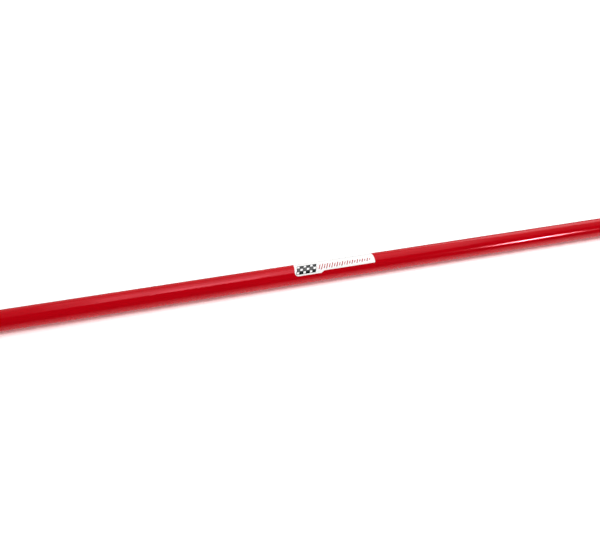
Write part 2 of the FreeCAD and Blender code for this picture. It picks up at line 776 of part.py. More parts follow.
def make_link_rubber(name, sign, height, nipple_up):
    """A link bushing: a round-edged pad with a nipple that centres it in its hole."""
    body = new_body(name)
    radius, nipple = "sizes.rubber_diameter / 2", "places.nipple_radius"
    bore, tall = "places.link_bore", "sizes.rubber_height"
    way = 1 if nipple_up else -1
    turn(
        body,
        [
            (bore, "0"),
            (radius, "0"),
            (radius, f"{way} * {tall}"),
            (nipple, f"{way} * {tall}"),
            (nipple, f"{way} * ({tall} + places.nipple_length)"),
            (bore, f"{way} * ({tall} + places.nipple_length)"),
        ],
    )
    ease(body, "Fillet", "sizes.rubber_edge_radius", ring_at(radius, "0"))
    ease(body, "Fillet", "sizes.rubber_inner_edge_radius", ring_at(radius, f"{way} * {tall}"))
    keep(at_link(body, sign, height), name)


def make_dished_washer(name, sign, height, rim_up):
    body = new_body(name)
    way = 1 if rim_up else -1
    thick, bore = "sizes.washer_thickness", "places.link_bore"
    rim, top = "places.dish_start + sizes.washer_dish_width", f"({thick} + sizes.washer_dish_rise)"
    turn(
        body,
        [
            (bore, "0"),
            ("places.dish_start + places.dish_skew", "0"),
            ("places.washer_radius", f"{way} * ({top} - {thick} * cos(places.dish_angle))"),
            (rim, f"{way} * {top}"),
            ("places.dish_start", f"{way} * {thick}"),
            (bore, f"{way} * {thick}"),
        ],
    )
    rims = [ring_at(bore, "0"), ring_at(bore, f"{way} * {thick}")]
    rims.append(ring_at(rim, f"{way} * {top}"))
    ease(body, "Fillet", "sizes.washer_edge_radius", lambda e: any(r(e) for r in rims))
    keep(at_link(body, sign, height), name)


def make_hex_blank(name, height_expression, both_faces):
    """A hexagon with its corners turned off at 30 degrees on one face or both."""
    body = new_body(name)
    outline = new_sketch(body, "XY_Plane")
    draw_hexagon(outline, "places.hex_corner")
    pad(body, outline, height_expression)
    flat, out = "places.hex_flat", "places.hex_corner + sizes.overrun"
    drop = f"({out} - {flat}) * tan(30)"
    turn(body, [(flat, "0"), (out, "0"), (out, drop)], cut=True)
    if both_faces:
        top = height_expression
        turn(body, [(flat, top), (out, top), (out, f"{top} - {drop}")], cut=True)
    return body


def make_link_bolt(side, sign):
    """The long link bolt, head down, with its thread cut as a real helix."""
    body = make_hex_blank(f"link_bolt_{side}", "sizes.bolt_head_height", both_faces=False)
    shank = new_sketch(body, "XY_Plane", "sizes.bolt_head_height")
    draw_circle(shank, "places.bolt_radius")
    pad(body, shank, "places.bolt_end_z - sizes.bolt_head_height")
    radius = "places.bolt_radius"
    ease(body, "Fillet", "sizes.under_head_radius", ring_at(radius, "sizes.bolt_head_height"))
    ease(body, "Chamfer", "places.bolt_end_chamfer", ring_at(radius, "places.bolt_end_z"))
    form = new_sketch(body, "XZ_Plane")
    start = "places.bolt_end_z - sizes.thread_length"
    crest = "places.bolt_radius + places.thread_overshoot"
    root = "places.bolt_radius - places.thread_depth"
    draw_outline(
        form,
        [
            (crest, f"{start} - places.thread_crest_half"),
            (root, f"{start} - places.thread_root_half"),
            (root, f"{start} + places.thread_root_half"),
            (crest, f"{start} + places.thread_crest_half"),
        ],
    )
    groove = body.newObject("PartDesign::SubtractiveHelix", f"link_bolt_{side}_thread")
    groove.Profile = form
    groove.ReferenceAxis = (origin_feature(body, "Z_Axis"), [""])
    groove.Mode = "pitch-height-angle"
    bind(groove, Pitch="sizes.thread_pitch", Height="sizes.thread_length + sizes.thread_pitch")
    groove.Reversed = False
    form.Visibility = False
    keep(at_link(body, sign, "0"), f"link_bolt_{side}")


def make_lock_nut(side, sign):
    """The lock nut, and the nylon ring crimped into its collar."""
    body = make_hex_blank(f"lock_nut_{side}", "sizes.nut_height", both_faces=True)
    collar = "places.collar_radius"
    top = "sizes.nut_height + sizes.nut_collar_height"
    turn(
        body,
        [
            ("0", "sizes.nut_height - sizes.overrun"),
            (collar, "sizes.nut_height - sizes.overrun"),
            (collar, f"{top} - sizes.nut_collar_slope"),
            (f"{collar} - sizes.nut_collar_slope", top),
            ("0", top),
        ],
    )
    ring = "places.insert_radius"
    seat = "sizes.nut_height + sizes.insert_step"
    lip = f"{ring} - sizes.nut_crimp"
    turn(
        body,
        [
            ("0", "-sizes.overrun"),
            ("places.thread_bore", "-sizes.overrun"),
            ("places.thread_bore", seat),
            (ring, seat),
            (ring, f"{seat} + sizes.insert_height"),
            (lip, f"{seat} + sizes.insert_height"),
            (lip, f"{top} + sizes.overrun"),
            ("0", f"{top} + sizes.overrun"),
        ],
        cut=True,
    )
    keep(at_link(body, sign, "places.nut_z"), f"lock_nut_{side}")
    insert = new_body(f"lock_nut_insert_{side}")
    fit = "places.bolt_radius + sizes.insert_clearance"
    turn(
        insert,
        [
            (fit, seat),
            (ring, seat),
            (ring, f"{seat} + sizes.insert_height"),
            (f"{fit} + sizes.insert_chamfer", f"{seat} + sizes.insert_height"),
            (fit, f"{seat} + sizes.insert_height - sizes.insert_chamfer"),
        ],
    )
    keep(at_link(insert, sign, "places.nut_z"), f"lock_nut_insert_{side}")


def make_sleeve(side, sign):
    body = new_body(f"spacer_sleeve_{side}")
    outer, bore = "sizes.sleeve_diameter / 2", "places.link_bore"
    turn(body, [(bore, "0"), (outer, "0"), (outer, "sizes.sleeve_length"), (bore, "sizes.sleeve_length")])
    rims = [ring_at(r, h) for r in (outer, bore) for h in ("0", "sizes.sleeve_length")]
    ease(body, "Chamfer", "sizes.sleeve_chamfer", lambda e: any(r(e) for r in rims))
    keep(at_link(body, sign, "places.sleeve_z"), f"spacer_sleeve_{side}")


def make_link(side, sign):
    """One end link, bottom to top: each bushing's round edge sits in its washer's dish."""
    make_link_bolt(side, sign)
    stack = (
        ("eye_washer_lower", "eye_rubber_lower", "sizes.bolt_head_height", True),
        ("eye_washer_upper", "eye_rubber_upper", "places.sleeve_z", False),
        ("frame_washer_lower", "frame_rubber_lower", "places.plate_washer_z", True),
        ("frame_washer_upper", "frame_rubber_upper", "places.nut_z", False),
    )
    for washer, rubber, face, facing_up in stack:
        make_dished_washer(f"{washer}_{side}", sign, face, facing_up)
        seat = f"{face} {'+' if facing_up else '-'} sizes.washer_thickness"
        make_link_rubber(f"{rubber}_{side}", sign, seat, facing_up)
    make_sleeve(side, sign)
    make_lock_nut(side, sign)


def check_and_write():
    """Stops if anything failed, and then writes each sub-part to its own file."""
    doc.recompute()
    failed = [o.Name for o in doc.Objects if {"Invalid", "Error"} & set(o.State)]
    broken = [o.Label for o in sub_parts if o.Shape.isNull() or not o.Shape.isValid()]
    if failed or broken:
        raise RuntimeError(f"failed objects {failed}, broken shapes {broken}")
    os.makedirs("parts", exist_ok=True)
    for thing in sub_parts:
        solids = thing.Shape.Solids
        if not solids or min(s.Volume for s in solids) <= 0:
            raise RuntimeError(f"{thing.Label} holds no solid of positive volume")
        shape = solids[0] if len(solids) == 1 else Part.makeCompound(solids)
        shape.exportStep(os.path.join("parts", thing.Label + ".step"))
        print(f"{thing.Label:28s} {len(solids)} solid, {thing.Shape.Volume:12.2f} mm3")


fill_sheets()
make_sway_bar()
make_label()
for side_name, side_sign in SIDES:
    make_bushing(side_name, side_sign)
    make_bracket(side_name, side_sign)
    make_fitting(side_name, side_sign)
    make_check_valve(side_name, side_sign)
    make_link(side_name, side_sign)
check_and_write()
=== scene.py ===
import json
import math

import bmesh
import bpy
from mathutils import Matrix, Vector


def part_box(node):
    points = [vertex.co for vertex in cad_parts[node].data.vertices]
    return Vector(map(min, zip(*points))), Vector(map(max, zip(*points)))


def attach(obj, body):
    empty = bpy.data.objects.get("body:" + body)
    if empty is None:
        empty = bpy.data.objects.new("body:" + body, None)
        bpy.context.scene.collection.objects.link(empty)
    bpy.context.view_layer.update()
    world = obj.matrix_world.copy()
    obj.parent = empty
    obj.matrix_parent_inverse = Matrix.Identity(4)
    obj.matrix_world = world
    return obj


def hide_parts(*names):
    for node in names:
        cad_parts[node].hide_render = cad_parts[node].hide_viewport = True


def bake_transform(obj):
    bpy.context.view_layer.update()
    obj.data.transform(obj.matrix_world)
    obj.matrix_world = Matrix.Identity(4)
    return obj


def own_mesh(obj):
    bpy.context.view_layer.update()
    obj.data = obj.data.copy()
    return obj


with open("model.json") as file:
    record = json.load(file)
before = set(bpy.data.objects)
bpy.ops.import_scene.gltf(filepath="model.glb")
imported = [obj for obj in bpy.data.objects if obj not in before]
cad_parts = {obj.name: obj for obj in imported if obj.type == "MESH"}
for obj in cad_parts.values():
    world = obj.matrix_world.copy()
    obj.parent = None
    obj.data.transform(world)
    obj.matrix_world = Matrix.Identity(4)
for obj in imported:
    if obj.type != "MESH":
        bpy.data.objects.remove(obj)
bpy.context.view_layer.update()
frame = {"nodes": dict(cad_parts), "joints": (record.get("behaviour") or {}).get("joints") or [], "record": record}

mm = 0.001  # the frame is in metres, the settings below are in millimetres
jointPlace = {j["name"]: Vector(j.get("pos_m", (0, 0, 0))) for j in frame["joints"]}
sides = ("left", "right")
print("frame loaded:", len(frame["nodes"]), "nodes")


# small tools

def linearColour(hexColour):
    channels = [int(hexColour[i:i + 2], 16) / 255 for i in (1, 3, 5)]
    linear = [c / 12.92 if c <= 0.04045 else ((c + 0.055) / 1.055) ** 2.4 for c in channels]
    return (*linear, 1.0)


def addNode(material, kind, settings=None, links=None):
    # settings names either a property of the node or one of its inputs, links maps inputs to outputs
    node = material.node_tree.nodes.new(kind)
    for name, setting in (settings or {}).items():
        if isinstance(name, str) and hasattr(node, name):
            setattr(node, name, setting)
        else:
            node.inputs[name].default_value = setting
    for name, source in (links or {}).items():
        material.node_tree.links.new(source, node.inputs[name])
    return node


def startMaterial(name, settings):
    material = bpy.data.materials.new(name)
    material.use_nodes = True
    material.node_tree.nodes.clear()
    shader = addNode(material, "ShaderNodeBsdfPrincipled", settings)
    addNode(material, "ShaderNodeOutputMaterial", links={"Surface": shader.outputs[0]})
    return material, shader


def link(material, source, shader, name):
    material.node_tree.links.new(source, shader.inputs[name])


def noiseAt(material, wavelength, detail=2.0):
    # noise whose blobs are about one wavelength, in millimetres, across
    place = addNode(material, "ShaderNodeTexCoord").outputs["Object"]
    return addNode(material, "ShaderNodeTexNoise", {"Scale": 1 / (wavelength * mm), "Detail": detail},
                   {"Vector": place}).outputs["Fac"]


def spread(material, source, low, high):
    # the middle of a noise, pulled out to run from low to high
    return addNode(material, "ShaderNodeMapRange",
                   {"From Min": 0.3, "From Max": 0.7, "To Min": low, "To Max": high},
                   {"Value": source}).outputs[0]


def mixColour(material, factor, first, second):
    node = addNode(material, "ShaderNodeMix", {"data_type": "RGBA"})
    for index, colour in ((6, first), (7, second)):
        if isinstance(colour, str):
            node.inputs[index].default_value = linearColour(colour)
        else:
            material.node_tree.links.new(colour, node.inputs[index])
    material.node_tree.links.new(factor, node.inputs[0])
    return node.outputs[2]


def addBump(material, shader, height, depth):
    # depth is in millimetres
    bump = addNode(material, "ShaderNodeBump", {"Strength": 1.0, "Distance": depth * mm},
                   {"Height": height})
    link(material, bump.outputs[0], shader, "Normal")


def meshObject(name, shape, material):
    mesh = bpy.data.meshes.new(name)
    if isinstance(shape, bmesh.types.BMesh):
        bmesh.ops.recalc_face_normals(shape, faces=shape.faces)
        shape.to_mesh(mesh)
        shape.free()
    piece = bpy.data.objects.new(name, mesh)
    bpy.context.scene.collection.objects.link(piece)
    mesh.materials.append(material)
    return piece


def smooth(piece, sharpAngle=35):
    piece.data.polygons.foreach_set("use_smooth", [True] * len(piece.data.polygons))
    piece.data.set_sharp_from_angle(angle=math.radians(sharpAngle))


def applyModifiers(piece):
    evaluated = piece.evaluated_get(bpy.context.evaluated_depsgraph_get())
    mesh = bpy.data.meshes.new_from_object(evaluated)
    piece.modifiers.clear()
    piece.data = mesh


def lathe(profile, around=96):
    # turns a closed (radius, height) profile in millimetres about the Z axis
    shape = bmesh.new()
    rings = []
    for step in range(around):
        angle = 2 * math.pi * step / around
        rings.append([shape.verts.new((r * math.cos(angle) * mm, r * math.sin(angle) * mm, z * mm))
                      for r, z in profile])
    for ring, following in zip(rings, rings[1:] + rings[:1]):
        for k in range(len(profile)):
            above = (k + 1) % len(profile)
            shape.faces.new((ring[k], following[k], following[above], ring[above]))
    bmesh.ops.remove_doubles(shape, verts=shape.verts, dist=1e-7)
    return shape


def roundCorner(before, corner, after, radius, count=6):
    # points of a tangent arc in place of a 2D corner
    b, c, a = Vector(before), Vector(corner), Vector(after)
    inward, outward = (b - c).normalized(), (a - c).normalized()
    half = (math.pi - inward.angle(outward)) / 2
    reach = min(radius * math.tan(half), 0.5 * (b - c).length, 0.5 * (a - c).length)
    radius = reach / math.tan(half)
    centre = c + (inward + outward).normalized() * (radius / math.cos(half))
    first, last = c + inward * reach - centre, c + outward * reach - centre
    turn = first.angle_signed(last) * -1
    return [tuple(centre + Matrix.Rotation(turn * k / count, 2) @ first) for k in range(count + 1)]


def roundedOutline(corners):
    # corners are (x, y, radius): a radius of 0 keeps the corner sharp
    points = []
    for index, (x, y, radius) in enumerate(corners):
        before, after = corners[index - 1][:2], corners[(index + 1) % len(corners)][:2]
        points += roundCorner(before, (x, y), after, radius) if radius else [(x, y)]
    return points


# finishes

def redPowderCoat():
    # Polyester powder, sprayed and baked: an even, saturated red under a hard gloss, whose fine
    # orange peel softens the edges of what it mirrors.
    coat = {"red": "#BE0211", "deepRed": "#B70210", "peelWidth": 2.2, "peelDepth": 0.004, "drift": 60}
    material, shader = startMaterial("redPowderCoat", {
        "Roughness": 0.1, "IOR": 1.5, "Specular Tint": (1.0, 0.27, 0.34, 1.0)})
    colour = mixColour(material, spread(material, noiseAt(material, coat["drift"]), 0, 1),
                       coat["red"], coat["deepRed"])
    link(material, colour, shader, "Base Color")
    addBump(material, shader, noiseAt(material, coat["peelWidth"], 3.0), coat["peelDepth"])
    return material


def zincPlatedSteel():
    # Mild steel in bright zinc with a clear passivate: a cool silver that is clean but not a mirror,
    # with soft clouds in its shine.
    plate = {"silver": "#CDD0D4", "cloud": "#BFC3C8", "cloudWidth": 9, "grain": 0.5, "grainDepth": 0.005}
    material, shader = startMaterial("zincPlatedSteel", {"Metallic": 1.0})
    clouds = noiseAt(material, plate["cloudWidth"], 4.0)
    link(material, mixColour(material, spread(material, clouds, 0, 1), plate["silver"], plate["cloud"]),
         shader, "Base Color")
    link(material, spread(material, clouds, 0.25, 0.33), shader, "Roughness")
    addBump(material, shader, noiseAt(material, plate["grain"], 3.0), plate["grainDepth"])
    return material


def blackPolyurethane():
    # Cast polyurethane with graphite in it: near black, dense and slightly waxy, with the mould's
    # fine texture.
    rubber = {"black": "#18181A", "worn": "#232326", "patch": 9, "texture": 0.7, "textureDepth": 0.02}
    material, shader = startMaterial("blackPolyurethane", {"IOR": 1.5, "Specular IOR Level": 0.45})
    patches = noiseAt(material, rubber["patch"], 3.0)
    link(material, mixColour(material, spread(material, patches, 0, 1), rubber["black"], rubber["worn"]),
         shader, "Base Color")
    link(material, spread(material, patches, 0.42, 0.56), shader, "Roughness")
    addBump(material, shader, noiseAt(material, rubber["texture"], 3.0), rubber["textureDepth"])
    return material


def nylonRing():
    # Turned nylon 66: milky, smooth and faintly translucent.
    material, shader = startMaterial("nylonRing", {"IOR": 1.53, "Subsurface Weight": 0.15,
                                                   "Subsurface Scale": 1.0 * mm})
    nylon = {"milk": "#E4E1D6", "shade": "#D8D5C8", "patch": 3}
    patches = noiseAt(material, nylon["patch"])
    link(material, mixColour(material, spread(material, patches, 0, 1), nylon["milk"], nylon["shade"]),
         shader, "Base Color")
    link(material, spread(material, patches, 0.32, 0.42), shader, "Roughness")
    return material


def polishedSteel():
    # Hardened bearing steel and music wire: grey, drawn or ground bright.
    material, shader = startMaterial("polishedSteel", {"Metallic": 1.0})
    steel = {"bright": "#B5B6B8", "dull": "#A2A3A6", "streak": 0.4}
    streaks = noiseAt(material, steel["streak"])
    link(material, mixColour(material, spread(material, streaks, 0, 1), steel["bright"], steel["dull"]),
         shader, "Base Color")
    link(material, spread(material, streaks, 0.14, 0.24), shader, "Roughness")
    return material


finish = {
    "red_powder_coat": redPowderCoat(),
    "zinc_plate": zincPlatedSteel(),
    "black_polyurethane": blackPolyurethane(),
    "nylon": nylonRing(),
    "spring_steel": polishedSteel(),
}
slotOf = {s["node"]: s["material_slot"] for s in frame["record"]["subparts"]}
for nodeName, node in frame["nodes"].items():
    if slotOf[nodeName] in finish:
        node.data.materials.clear()
        node.data.materials.append(finish[slotOf[nodeName]])
print("finishes made:", len(finish))


# the bar

barShape = {
    "diameter": 25.4,
    "bendRadius": 76.2,
    "bendGap": 45.0,  # from a bracket's centre to where the bend starts
    "tipRadius": 150.0,
    "tipLength": 90.0,  # from the corner of the arm to the eye's centre
    "taper": 36.0,
    "flat": 24.0,
    "eyeWidth": 38.0,
    "eyeThickness": 14.0,
    "eyeEdge": 4.0,
    "holeDiameter": 16.5,
    "holeChamfer": 0.8,
    "firstSplay": 6.0,  # degrees, a first guess that solveSplay works on from
    "around": 96,
    "flatTurn": 25,  # degrees of each quarter section that go to a flat, the rest to its rounded corner
    "arcStep": 2.0,  # degrees
    "taperSteps": 14,
    "tipSteps": 48,
    "drillPast": 2.0,
}


def routeHalf(shape, axis, eye, bracketX):
    # centre line of the right half: points with their directions
    straightEnd = bracketX + shape["bendGap"]
    cornerY = -(abs(eye.y) - shape["tipLength"])
    splay = solveSplay(shape, straightEnd, eye.x, cornerY)
    corner = Vector((straightEnd + shape["bendRadius"] * math.tan((math.pi / 2 - splay) / 2), 0, axis))
    knee = Vector((eye.x, cornerY, eye.z))
    end = Vector((eye.x, eye.y + shape["flat"] + shape["taper"], eye.z))
    points = [(Vector((0, 0, axis)), Vector((1, 0, 0)))]
    start = points[0][0]
    for here, after, radius in ((corner, knee, shape["bendRadius"]), (knee, end, shape["tipRadius"])):
        before = (start - here).normalized()
        onward = (after - here).normalized()
        half = (math.pi - before.angle(onward)) / 2
        reach = radius * math.tan(half)
        centre = here + (before + onward).normalized() * (radius / math.cos(half))
        first = here + before * reach
        normal = (first - centre).cross(here + onward * reach - centre).normalized()
        steps = max(4, round(math.degrees(2 * half) / shape["arcStep"]))
        for k in range(steps + 1):
            spin = Matrix.Rotation(2 * half * k / steps, 3, normal)
            points.append((centre + spin @ (first - centre), spin @ -before))
        start = here + onward * reach
    points.append((end, Vector((0, -1, 0))))
    return points


def solveSplay(shape, straightEnd, eyeX, cornerY):
    # the arm leaves the bend at the splay angle that brings its corner to the eye's x
    splay = math.radians(shape["firstSplay"])
    for _ in range(30):
        cornerX = straightEnd + shape["bendRadius"] * math.tan((math.pi / 2 - splay) / 2)
        splay = math.atan2(eyeX - cornerX, -cornerY)
    return splay


def sectionPoints(shape, flatness):
    # one section, round at flatness 0 and a rounded rectangle at 1, as (across, up) pairs
    wide, tall, edge = shape["eyeWidth"] / 2, shape["eyeThickness"] / 2, shape["eyeEdge"]
    radius, flat = shape["diameter"] / 2, shape["flatTurn"]
    points = []
    for k in range(shape["around"]):
        angle = 360 * k / shape["around"]
        quarter = angle % 90 if (angle // 90) % 2 == 0 else 90 - angle % 90
        if quarter <= flat:
            x, z = wide, (tall - edge) * quarter / flat
        elif quarter >= 90 - flat:
            x, z = (wide - edge) * (90 - quarter) / flat, tall
        else:
            turn = math.radians((quarter - flat) / (90 - 2 * flat) * 90)
            x, z = wide - edge + edge * math.cos(turn), tall - edge + edge * math.sin(turn)
        x *= -1 if 90 < angle < 270 else 1
        z *= -1 if angle > 180 else 1
        turn = math.radians(angle)
        points.append((x * flatness + radius * math.cos(turn) * (1 - flatness),
                       z * flatness + radius * math.sin(turn) * (1 - flatness)))
    return points


def buildBar(shape):
    axis = jointPlace["bar_pivot"].z / mm
    eye = jointPlace["link_right_swing"] / mm
    low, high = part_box("saddle_bracket_right")
    bracketX = (low.x + high.x) / 2 / mm
    form = bmesh.new()
    rings = []

    def addRing(place, along, flatness):
        side = along.cross(Vector((0, 0, 1))).normalized()
        up = side.cross(along)
        rings.append([form.verts.new((place + side * x + up * z) * mm)
                      for x, z in sectionPoints(shape, flatness)])

    for place, along in routeHalf(shape, axis, eye, bracketX):
        addRing(place, along, 0)
    forward = Vector((0, -1, 0))
    for k in range(1, shape["taperSteps"] + 1):
        part = k / shape["taperSteps"]
        y = eye.y + shape["flat"] + shape["taper"] * (1 - part)
        addRing(Vector((eye.x, y, eye.z)), forward, part * part * (3 - 2 * part))
    addRing(Vector((eye.x, eye.y, eye.z)), forward, 1)
    for ring, following in zip(rings, rings[1:]):
        for k in range(len(ring)):
            beside = (k + 1) % len(ring)
            form.faces.new((ring[k], ring[beside], following[beside], following[k]))
    # the half-round tip: half of the last section, swung about the eye's own axis
    section = sectionPoints(shape, 1)
    count = len(section)
    half = [section[k % count] for k in range(-count // 4, count // 4 + 1)]
    fans = []
    for step in range(shape["tipSteps"] + 1):
        angle = math.pi * step / shape["tipSteps"]
        fans.append([form.verts.new((eye + Vector((-x * math.cos(angle), -x * math.sin(angle), z))) * mm)
                     for x, z in half])
    for fan, following in zip(fans, fans[1:]):
        for k in range(len(fan) - 1):
            form.faces.new((fan[k], fan[k + 1], following[k + 1], following[k]))
    bmesh.ops.remove_doubles(form, verts=form.verts, dist=1e-6)
    bmesh.ops.dissolve_degenerate(form, edges=form.edges, dist=1e-7)
    bar = meshObject("powderCoatedBar", form, finish["red_powder_coat"])
    mirror = bar.modifiers.new("otherHalf", "MIRROR")
    mirror.use_clip = True
    mirror.merge_threshold = 1e-6
    hole, chamfer, face = shape["holeDiameter"] / 2, shape["holeChamfer"], shape["eyeThickness"] / 2
    past = shape["drillPast"]
    drillProfile = [(0, -face - past), (hole + chamfer + past, -face - past), (hole + chamfer, -face),
                    (hole, -face + chamfer), (hole, face - chamfer), (hole + chamfer, face),
                    (hole + chamfer + past, face + past), (0, face + past)]
    drills = []
    for side in sides:
        drill = meshObject("drill_" + side, lathe(drillProfile), finish["red_powder_coat"])
        drill.data.transform(Matrix.Translation(jointPlace[f"link_{side}_swing"]))
        cut = bar.modifiers.new("drill_" + side, "BOOLEAN")
        cut.object, cut.operation, cut.solver = drill, "DIFFERENCE", "EXACT"
        drills.append(drill)
    applyModifiers(bar)
    for drill in drills:
        bpy.data.objects.remove(drill)
    smooth(bar)
    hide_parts("sway_bar")
    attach(bar, "bar")
    print("bar made:", len(bar.data.polygons), "faces")
    return bar


bar = buildBar(barShape)


# the label

labelShape = {
    "length": 110.0,
    "width": 20.0,  # measured round the bar
    "block": 35.5,  # the taller left part
    "step": 2.6,
    "stepRun": 4.0,
    "corner": 4.4,
    "tipCorner": 1.6,
    "trim": {"lowerLeft": 0.2, "upperLeft": 3.0, "lowerRight": 0.9, "upperRight": 1.6},  # slants the ends
    "thickness": 0.15,
    "lean": 64.0,  # degrees that its middle leans up from level
    "slices": 40,
}


def printedVinyl(shape):
    # Cast vinyl, printed, laminated and cut round its print: clean white under a thin gloss film, with
    # a dark chequer and thin red dashes in flat ink. The print carries a faint painted glow in its own colour,
    # which lifts its white.
    ink = {"white": "#FDFDFC", "shade": "#F7F7F6", "dark": "#15191B", "red": "#A81322",
           "panel": (-50.4, -24.4, -8.2, 3.4), "slant": 0.32, "column": 4.33, "rows": 3, "gap": (0.7, 0.66),
           "dashes": (-22.5, 49.0), "pitch": 3.4, "width": 1.5, "level": -1.9, "reach": 3.9,
           "dashLean": 0.5, "lastReach": 0.5, "shorter": 0.22,
           "patch": 12, "ripple": 5, "rippleDepth": 0.01}
    material, shader = startMaterial("printedVinyl", {"Roughness": 0.22, "IOR": 1.5,
                                                      "Emission Strength": 0.1})

    def calculate(operation, first, second=0.0, clamp=False):
        node = addNode(material, "ShaderNodeMath", {"operation": operation, "use_clamp": clamp})
        for index, entry in enumerate((first, second)):
            if isinstance(entry, (int, float)):
                node.inputs[index].default_value = entry
            else:
                material.node_tree.links.new(entry, node.inputs[index])
        return node.outputs[0]

    def inside(value, low, high):
        return calculate("MULTIPLY", calculate("GREATER_THAN", value, low),
                         calculate("LESS_THAN", value, high))

    place = addNode(material, "ShaderNodeUVMap", {"uv_map": "labelPrint"}).outputs[0]
    split = addNode(material, "ShaderNodeSeparateXYZ", links={"Vector": place})
    across = calculate("MULTIPLY", calculate("SUBTRACT", split.outputs[0], 0.5), shape["length"])
    upward = calculate("MULTIPLY", calculate("SUBTRACT", split.outputs[1], 0.5), shape["width"])
    slanted = calculate("SUBTRACT", across, calculate("MULTIPLY", upward, ink["slant"]))
    left, right, low, high = ink["panel"]
    panel = calculate("MULTIPLY", inside(slanted, left, right), inside(upward, low, high))
    column = calculate("DIVIDE", calculate("SUBTRACT", slanted, left), ink["column"])
    row = calculate("DIVIDE", calculate("SUBTRACT", upward, low), (high - low) / ink["rows"])
    odd = calculate("FLOORED_MODULO", calculate("ADD", calculate("FLOOR", column),
                                                calculate("FLOOR", row)), 2)
    gaps = calculate("LESS_THAN", odd, 0.5)
    for cell, share in zip((column, row), ink["gap"]):
        # the white squares are smaller than the dark ones, so that the dark ones join
        middle = calculate("ABSOLUTE", calculate("SUBTRACT", calculate("FRACT", cell), 0.5))
        gaps = calculate("MULTIPLY", gaps, calculate("LESS_THAN", middle, share / 2))
    dark = calculate("SUBTRACT", panel, calculate("MULTIPLY", gaps, panel))
    # a run of slanted dashes, every second one shorter, that shrink to the right
    first, last = ink["dashes"]
    leaning = calculate("SUBTRACT", across, calculate("MULTIPLY", upward, ink["dashLean"]))
    taper = calculate("DIVIDE", calculate("SUBTRACT", last, across), last - first, True)
    short = calculate("LESS_THAN", calculate("FLOORED_MODULO", leaning, 2 * ink["pitch"]), ink["pitch"])
    shrink = calculate("MULTIPLY", taper, 1 - ink["lastReach"])
    share = calculate("SUBTRACT", calculate("ADD", shrink, ink["lastReach"]),
                      calculate("MULTIPLY", short, ink["shorter"]))
    reach = calculate("MULTIPLY", share, ink["reach"])
    off = calculate("ABSOLUTE", calculate("SUBTRACT", upward, ink["level"]))
    dash = calculate("MULTIPLY", calculate("LESS_THAN", off, reach), calculate(
        "LESS_THAN", calculate("FLOORED_MODULO", leaning, ink["pitch"]), ink["width"]))
    red = calculate("MULTIPLY", dash, inside(leaning, first, last))
    clouds = spread(material, noiseAt(material, ink["patch"]), 0, 1)
    paper = mixColour(material, clouds, ink["white"], ink["shade"])
    colour = mixColour(material, dark, mixColour(material, red, paper, ink["red"]), ink["dark"])
    link(material, colour, shader, "Base Color")
    # the print's colour also feeds a faint painted glow (Emission Strength 0.1): the white and the red glow, the
    # dark ink barely
    link(material, colour, shader, "Emission Color")
    addBump(material, shader, noiseAt(material, ink["ripple"]), ink["rippleDepth"])
    return material


def buildLabel(shape):
    end, top = shape["length"] / 2, shape["width"] / 2
    stepX, tail, corner = -end + shape["block"], -top + shape["step"], shape["corner"]
    trim, tip = shape["trim"], shape["tipCorner"]
    outline = roundedOutline([
        (-end + trim["lowerLeft"], -top, corner), (stepX, -top, corner),
        (stepX + shape["stepRun"], tail, corner), (end - trim["lowerRight"], tail, tip),
        (end - trim["upperRight"], top, tip), (-end + trim["upperLeft"], top, tip)])
    form = bmesh.new()
    form.faces.new([form.verts.new((x, y, 0)) for x, y in outline])
    for k in range(1, shape["slices"]):
        level = -top + shape["width"] * k / shape["slices"]
        bmesh.ops.bisect_plane(form, geom=form.verts[:] + form.edges[:] + form.faces[:], dist=1e-5,
                               plane_co=(0, level, 0), plane_no=(0, 1, 0))
    printMap = form.loops.layers.uv.new("labelPrint")
    for face in form.faces:
        for loop in face.loops:
            x, y, _ = loop.vert.co
            loop[printMap].uv = (x / shape["length"] + 0.5, y / shape["width"] + 0.5)
    axis = jointPlace["bar_pivot"].z / mm
    radius = barShape["diameter"] / 2 + shape["thickness"]
    for vert in form.verts:
        x, arc, _ = vert.co
        angle = math.radians(shape["lean"]) + arc / (barShape["diameter"] / 2)
        vert.co = Vector((x, -radius * math.cos(angle), axis + radius * math.sin(angle))) * mm
    label = meshObject("dieCutLabel", form, printedVinyl(shape))
    if label.data.polygons[0].normal.z < 0:
        label.data.flip_normals()
    skin = label.modifiers.new("thickness", "SOLIDIFY")
    skin.thickness, skin.offset = shape["thickness"] * mm, -1
    applyModifiers(label)
    smooth(label, 40)
    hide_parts("label")
    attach(label, "bar")
    print("label made:", len(label.data.polygons), "faces")


buildLabel(labelShape)


# the link bushings

bushingShape = {
    "radius": 15.0,
    "height": 15.0,
    "edge": 3.0,
    "topEdge": 0.9,
    "bulge": 0.35,
    "nipple": 8.0,
    "nippleRoot": 0.3,
    "nippleEdge": 0.7,
    "nippleLength": 4.3,
    "bore": 5.1,
    "seam": 0.12,  # how far the mould's parting line stands out
    "seamReach": 0.45,
    "wallSteps": 24,
}


